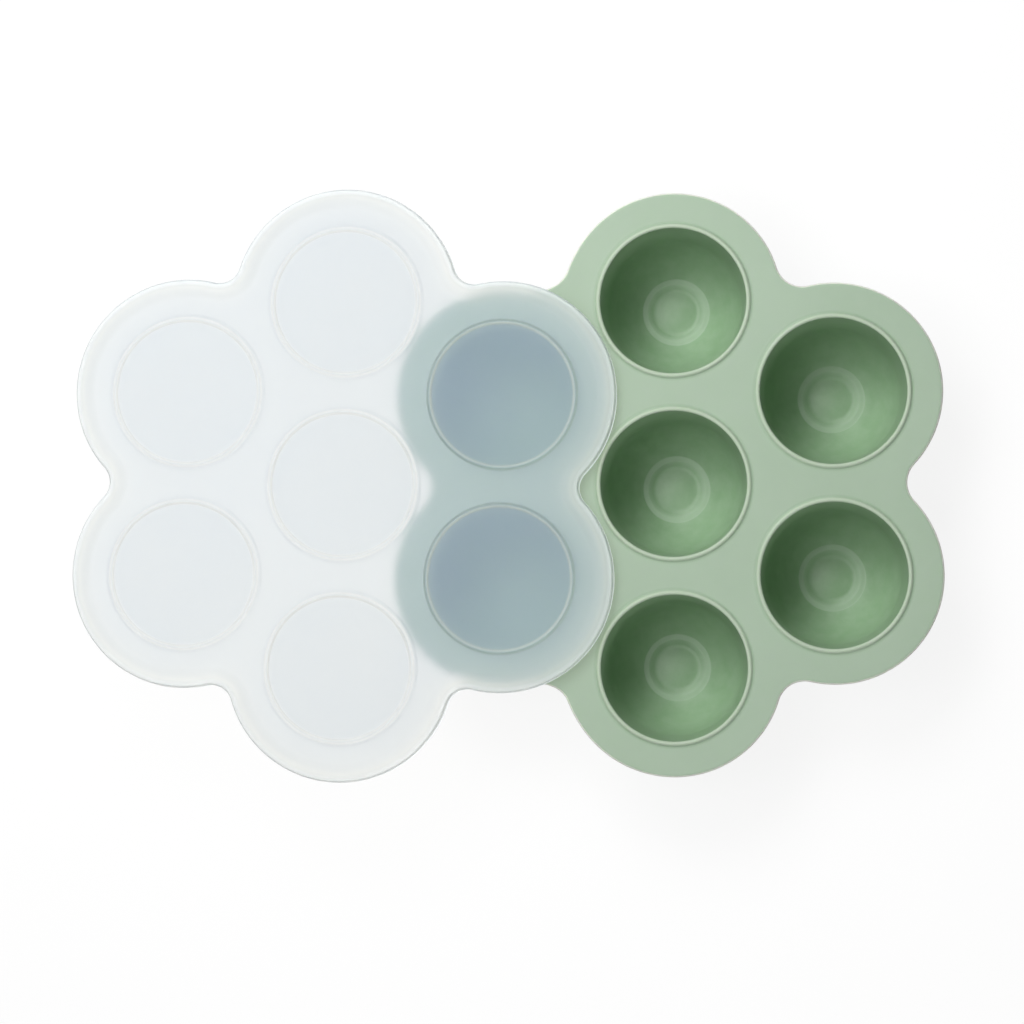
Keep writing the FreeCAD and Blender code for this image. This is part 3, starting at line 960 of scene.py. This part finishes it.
# Glass tint on each ring's painted dark line.
DARK_LINE_TINT = (0.955, 0.940, 0.890, 1.0)
RIM_TINT = (0.99, 0.99, 0.98, 1.0)
COOL_WHITE = (0.45, 0.63, 0.90, 1.0)
CLOUDY_WHITE = (0.49, 0.66, 0.92, 1.0)
PANEL_WHITE = (0.49, 0.655, 0.90, 1.0)
# White of each ring's painted light line.
RING_LIGHT_LINE_WHITE = (0.88, 0.93, 0.97, 1.0)
NO_LIGHT = (0.0, 0.0, 0.0, 1.0)
# Painted glow along the lid's outer edge.
PAINTED_EDGE_GLOW = (0.60, 0.64, 0.63, 1.0)
RIM_GLOW = (0.86, 0.92, 0.98, 1.0)
PASSED_ON = (0.90, 0.90, 0.89, 1.0)
CLOUD_SCALE = 35.0
FROST_SCALE = 1500.0
# Where the painted glow at the lid's edge comes in.
PAINTED_GLOW_FROM = 0.42
PAINTED_GLOW_TO = 0.70
# How much white each part of the lid mixes into the glass.
PLATE_SHARE = 0.18
CLOUD_SHARE = 0.02
# This share paints each ring's light and dark lines.
RING_SHARE = 0.14
PANEL_SHARE = 0.04
RIM_SHARE = 0.36
GLOW_SHARE = 0.5
PLASTIC_IOR = 1.49


def finish_plastic(material):
    tree = blank_tree(material)
    where = node(tree, "ShaderNodeTexCoord", output="Object")
    cloudy = ramp(noise(tree, where, CLOUD_SCALE, detail=3.0), 0.3, 0.7)
    frost = noise(tree, where, FROST_SCALE, detail=2.0)
    bump = node(tree, "ShaderNodeBump", inputs={
        "Height": frost, "Strength": 0.15, "Distance": 0.00003,
    })
    finish = node(tree, "ShaderNodeAttribute", {"attribute_name": FINISH_AND_PAINTED_LIGHT_MARK}, output="Fac")
    panel = ramp(finish, PAINTED_DARK_LINE, ON_PANEL)
    # Across each ring a whiter band paints a light line and a clearer band, with its own tint, a
    # dark line.
    ring = finish.maths("MAXIMUM", PAINTED_DARK_LINE).maths("MINIMUM", PAINTED_LIGHT_LINE) + panel
    rim = ramp(finish, 0.0, AT_RIM)
    tint = blend(tree, ramp(ring, 0.0, PAINTED_DARK_LINE), RING_TINT, DARK_LINE_TINT)
    tint = blend(tree, rim * rim, tint, RIM_TINT)
    see_through = node(tree, "ShaderNodeBsdfPrincipled", inputs={
        "Base Color": tint,
        "Roughness": 0.56 + cloudy * 0.04 + panel * 0.26,
        "IOR": PLASTIC_IOR,
        "Transmission Weight": 1.0,
        "Normal": bump,
    })
    # Painted glow: the white emits light along the lid's outer edge, a painted highlight where no
    # lamp is.
    painted_edge_glow = ramp(rim, PAINTED_GLOW_FROM, PAINTED_GLOW_TO)
    cool = blend(tree, cloudy, COOL_WHITE, CLOUDY_WHITE)
    cool = blend(tree, panel, cool, PANEL_WHITE)
    # On a ring's inner band the white turns whiter, the painted light line.
    white = node(tree, "ShaderNodeBsdfPrincipled", inputs={
        "Base Color": blend(tree, ramp(finish, 0.0, PAINTED_LIGHT_LINE), cool, RING_LIGHT_LINE_WHITE),
        "Roughness": 0.38,
        "IOR": PLASTIC_IOR,
        "Emission Color": blend(tree, painted_edge_glow, NO_LIGHT, PAINTED_EDGE_GLOW),
        "Emission Strength": 1.0,
        "Normal": bump,
    })
    share = PLATE_SHARE + cloudy * CLOUD_SHARE + ring * RING_SHARE + panel * PANEL_SHARE
    share = share + rim * rim * rim * RIM_SHARE
    # Light that comes through the rim from behind makes it glow.
    glowing = node(tree, "ShaderNodeBsdfTranslucent", inputs={"Color": RIM_GLOW})
    lit = node(tree, "ShaderNodeMixShader", inputs={0: rim * GLOW_SHARE, 1: white, 2: glowing})
    mixed = node(tree, "ShaderNodeMixShader", inputs={0: share, 1: see_through, 2: lit})
    # Light that goes on to what lies below passes straight, dimmed a little at each surface.
    passing = node(tree, "ShaderNodeBsdfTransparent", inputs={"Color": PASSED_ON})
    path = node(tree, "ShaderNodeLightPath", output="Is Shadow Ray")
    lighting = path.maths("MAXIMUM", path.output("Is Diffuse Ray"))
    surface(tree, node(tree, "ShaderNodeMixShader", inputs={0: lighting, 1: mixed, 2: passing}))
    print(f"{material.name}: {len(tree.nodes)} nodes")


finish_plastic(milky)


# %% [markdown]
# ## The floor and the light
#
# The floor is matte and pale. Part of what the camera sees of it glows by itself, so that it turns
# out white while the pieces still drop a soft shadow. That glow is there for rays from the camera,
# mirror rays and rays through the lid, and lights nothing.
#
# Two of the lamps stand behind. Seen from the front, they would glare on the frosted lid and hide
# its ridges, so the lid gets their light without shine, as through a polarising filter.

# %% Make the floor
FLOOR_SIZE = 6.0
FLOOR_GAP = 0.1
FLOOR_PALE = (0.80, 0.80, 0.80, 1.0)
FLOOR_DIM = (0.15, 0.15, 0.15, 1.0)
GLOW = 0.87


def seen_directly(tree):
    """1 for rays that show the surroundings as they are, 0 for rays that carry soft light."""
    path = node(tree, "ShaderNodeLightPath", output="Is Camera Ray")
    total = path + path.output("Is Glossy Ray") + path.output("Is Transmission Ray")
    return total.maths("MINIMUM", 1.0)


def make_floor():
    half = FLOOR_SIZE / 2
    level = cad_box[0].z - FLOOR_GAP * MM
    mesh = bpy.data.meshes.new("floor")
    signs = ((-1, -1), (1, -1), (1, 1), (-1, 1))
    corners = [(half * x, half * y, level) for x, y in signs]
    mesh.from_pydata(corners, [], [(0, 1, 2, 3)])
    floor = bpy.data.objects.new("floor", mesh)
    bpy.context.scene.collection.objects.link(floor)
    material = bpy.data.materials.new("white_floor")
    tree = blank_tree(material)
    pale = node(tree, "ShaderNodeBsdfDiffuse", inputs={"Color": FLOOR_PALE})
    dim = node(tree, "ShaderNodeBsdfDiffuse", inputs={"Color": FLOOR_DIM})
    glow = node(tree, "ShaderNodeEmission", inputs={"Strength": GLOW})
    seen = node(tree, "ShaderNodeAddShader", inputs={0: dim, 1: glow})
    inputs = {0: seen_directly(tree), 1: pale, 2: seen}
    surface(tree, node(tree, "ShaderNodeMixShader", inputs=inputs))
    mesh.materials.append(material)
    return floor


floor = make_floor()
print("The floor lies at", round(floor.data.vertices[0].co.z / MM, 2), "mm")


# %% Light the room
FILL = 0.02
LAMP_DISTANCE = 0.85
LAMP_SIZE = 0.36
# Each lamp's name, azimuth and elevation in degrees, and level.
REAR_LAMPS = (
    ("main_softbox", 121, 55, 0.41),
    ("back_softbox", 100, 48, 0.12),
)
OTHER_LAMPS = (
    ("left_softbox", 172, 63, 0.19),
    ("top_softbox", 205, 73, 0.16),
    ("front_softbox", 295, 22, 0.07),
)


def make_world():
    """Even fill light that the camera sees as white."""
    world = bpy.data.worlds.new("white_room")
    bpy.context.scene.world = world
    world.use_nodes = True
    tree = world.node_tree
    tree.nodes.clear()
    strength = FILL + seen_directly(tree) * (1 - FILL)
    glow = node(tree, "ShaderNodeBackground", inputs={"Strength": strength})
    sink = tree.nodes.new("ShaderNodeOutputWorld")
    tree.links.new(glow.socket, sink.inputs["Surface"])


def softbox(name, azimuth, elevation, level, pieces=(), shine=True):
    """Square lamp that faces the model. Its level is what it adds to a flat white surface.

    It can light some pieces alone, and light them without any shine.
    """
    azimuth, elevation = math.radians(azimuth), math.radians(elevation)
    lamp = bpy.data.lights.new(name, "AREA")
    lamp.size = LAMP_SIZE
    lamp.energy = level * math.pi**2 * LAMP_DISTANCE**2 / math.sin(elevation)
    made = bpy.data.objects.new(name, lamp)
    bpy.context.scene.collection.objects.link(made)
    if pieces:
        chosen = bpy.data.collections.new(name + "_pieces")
        for piece in pieces:
            chosen.objects.link(piece)
        made.light_linking.receiver_collection = chosen
    made.visible_glossy = shine
    made.visible_transmission = shine
    towards = Vector((
        math.cos(elevation) * math.cos(azimuth),
        math.cos(elevation) * math.sin(azimuth),
        math.sin(elevation),
    ))
    made.location = towards * LAMP_DISTANCE
    made.rotation_euler = towards.to_track_quat("Z", "Y").to_euler()
    print(f"{name}: {lamp.energy:.1f} W")


make_world()
for name, *aim_and_level in REAR_LAMPS:
    softbox(name, *aim_and_level, pieces=(tray, floor))
    softbox(name + "_on_lid", *aim_and_level, pieces=(lid,), shine=False)
for lamp in OTHER_LAMPS:
    softbox(*lamp)


# %% [markdown]
# ## The camera
#
# The camera looks down from a little over a metre, almost straight, and its long lens keeps the
# cups nearly parallel.

# %% Place the camera
SENSOR_WIDTH = 36.0
LENS = 105.4
CAMERA_PLACE = (0.0333, -0.0619, 1.1154)
CAMERA_TURN = (2.76, 4.87, -0.05)

camera = bpy.data.objects.new("camera", bpy.data.cameras.new("camera"))
camera.data.sensor_width = SENSOR_WIDTH
camera.data.lens = LENS
camera.location = CAMERA_PLACE
camera.rotation_euler = [math.radians(angle) for angle in CAMERA_TURN]
bpy.context.scene.collection.objects.link(camera)
bpy.context.scene.camera = camera
bpy.context.scene.view_settings.view_transform = "Standard"
print("Camera lens:", camera.data.lens, "mm")
